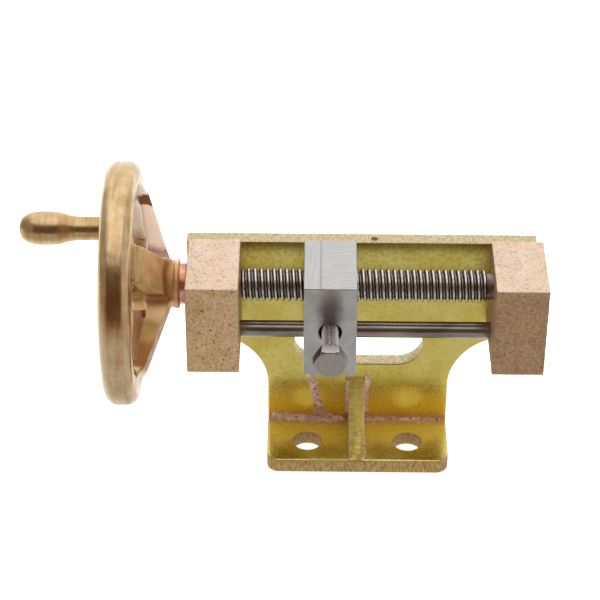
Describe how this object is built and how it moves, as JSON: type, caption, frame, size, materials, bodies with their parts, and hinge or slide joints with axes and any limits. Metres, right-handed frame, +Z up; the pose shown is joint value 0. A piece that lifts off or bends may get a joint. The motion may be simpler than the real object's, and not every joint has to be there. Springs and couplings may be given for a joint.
{
  "type": "handwheel screw slide",
  "caption": "Handwheel that turns a leadscrew between two bearing blocks and drives a nut block along a guide rod, on a foot bracket with a gusset rib.",
  "frame": {"origin": "on the underside of the foot, midway between its two bolt holes", "axes": "+X along the leadscrew, away from the handwheel; +Y towards the back plate; +Z up"},
  "size_m": [0.1277, 0.0577, 0.0819],
  "materials": {
    "sheet_brass": "rolled, lightly brushed",
    "cast_bronze": "cast skin, fine sand grain",
    "bush_bronze": "turned",
    "polished_bronze": "polished",
    "braze_copper": "rough braze metal",
    "collar_copper": "turned",
    "screw_steel": "cut thread, oiled",
    "rod_steel": "drawn and polished",
    "ground_steel": "fly-cut and ground",
    "bolt_steel": "turned, bright",
    "fastener_steel": "plain"
  },
  "bodies": {
    "bracket": {"back_plate": "sheet_brass", "foot_plate": "sheet_brass", "gusset_rib": "sheet_brass", "left_bearing_block": "cast_bronze", "right_bearing_block": "cast_bronze", "guide_rod": "rod_steel", "left_bush": "bush_bronze", "right_bush": "bush_bronze", "block_screw_1": "fastener_steel", "block_screw_2": "fastener_steel", "block_screw_3": "fastener_steel", "block_screw_4": "fastener_steel", "braze_corner_left": "braze_copper", "braze_corner_right": "braze_copper", "braze_rib_left": "braze_copper", "braze_rib_right": "braze_copper", "braze_streak": "braze_copper"},
    "wheel_and_screw": {"leadscrew": "screw_steel", "thrust_collar": "collar_copper", "handwheel": "polished_bronze", "wheel_washer": "fastener_steel", "wheel_nut": "fastener_steel", "handle_pin": "polished_bronze"},
    "handle": {"handle": "polished_bronze"},
    "nut": {"nut_block": "ground_steel"},
    "bolt": {"clamp_bolt": "bolt_steel"}
  },
  "joints": [
    {"name": "wheel_spin", "type": "hinge", "parent": "bracket", "child": "wheel_and_screw", "pos_m": [0, -0.00175, 0.053], "axis": [1, 0, 0], "range_deg": [-7560, 3600]},
    {"name": "nut_travel", "type": "slide", "parent": "bracket", "child": "nut", "axis": [1, 0, 0], "range_m": [-0.015, 0.0315]},
    {"name": "handle_spin", "type": "hinge", "parent": "wheel_and_screw", "child": "handle", "pos_m": [-0.072, 0.02273, 0.05206], "axis": [1, 0, 0], "continuous": true},
    {"name": "bolt_feed", "type": "slide", "parent": "nut", "child": "bolt", "axis": [0, -1, 0], "range_m": [-0.009, 0.007]}
  ],
  "couplings": [
    {"joint": "nut_travel", "follows": "wheel_spin", "m_per_rad": -0.00023873}
  ]
}
